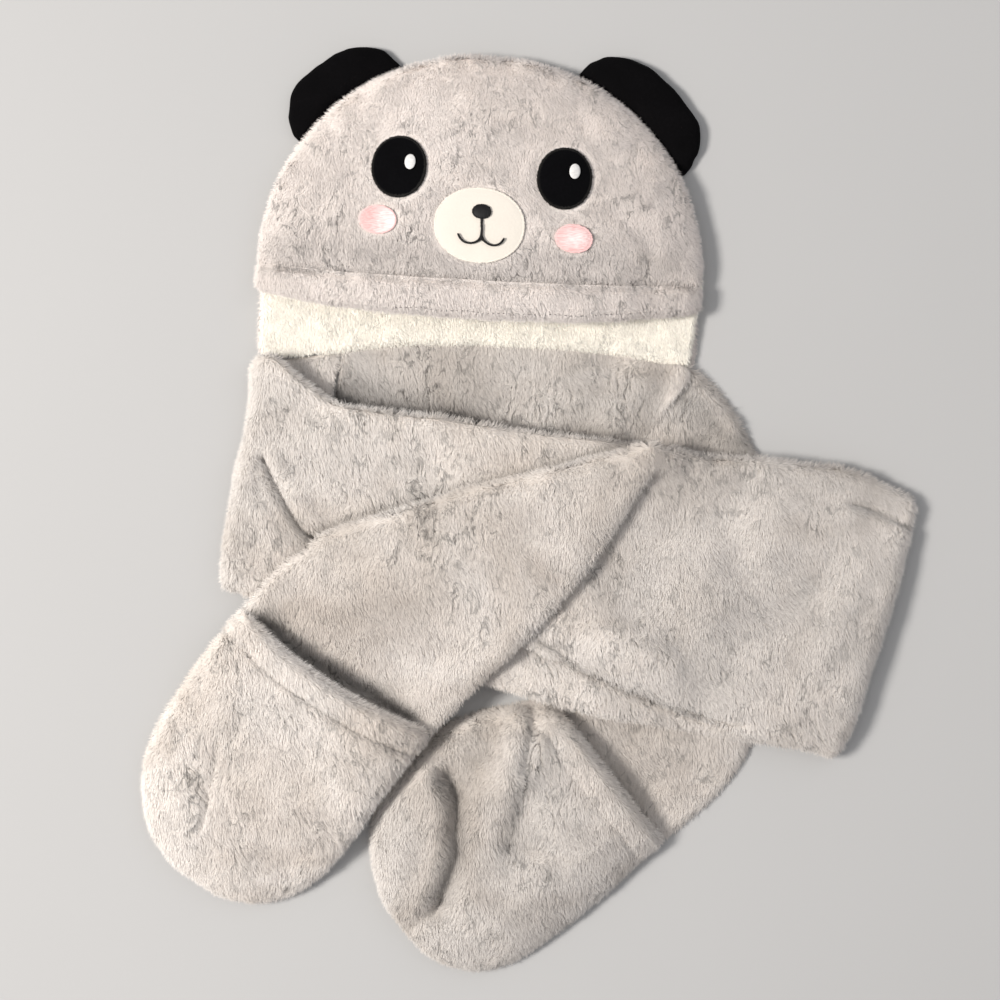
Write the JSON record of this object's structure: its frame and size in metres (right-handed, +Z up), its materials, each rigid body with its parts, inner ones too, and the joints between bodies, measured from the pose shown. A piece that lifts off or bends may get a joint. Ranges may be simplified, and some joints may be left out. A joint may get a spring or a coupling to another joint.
{
  "type": "animal hood scarf",
  "caption": "Plush animal hood with round ears and a stitched face, joined to a long scarf that ends in hand pockets, lying folded flat.",
  "frame": {"origin": "under the middle of the bounding box, on the surface that it lies on", "axes": "+Y from the pockets to the hood's crown, +X to the right as seen from above with the crown at the top, +Z up, the way the face looks"},
  "size_m": [0.511, 0.6134, 0.0585],
  "materials": {
    "grey_plush": "brushed long-pile plush, warm light grey with a lavender cast on the hood",
    "cream_lining": "curly cream fleece lining",
    "black_plush": "short black plush over padding",
    "white_felt": "smooth white applique cloth with a satin-stitched edge",
    "black_velvet": "black velvet applique with a satin-stitched edge",
    "pink_thread": "satin-stitched pink thread fading to white",
    "white_thread": "satin-stitched white thread",
    "dark_thread": "satin-stitched dark thread"
  },
  "bodies": {
    "root": {"hood_back": "grey_plush", "hood_lining": "cream_lining", "hood_front": "grey_plush", "hood_brim": "grey_plush", "ear_left": "black_plush", "ear_right": "black_plush", "muzzle": "white_felt", "eye_left": "black_velvet", "eye_right": "black_velvet", "cheek_left": "pink_thread", "cheek_right": "pink_thread", "glint_left": "white_thread", "glint_right": "white_thread", "nose": "dark_thread", "mouth": "dark_thread", "neck_band": "grey_plush", "right_arm": "grey_plush", "right_pocket": "grey_plush", "right_pocket_hem": "grey_plush", "left_arm": "grey_plush", "left_pocket": "grey_plush", "left_pocket_hem": "grey_plush"}
  },
  "joints": []
}
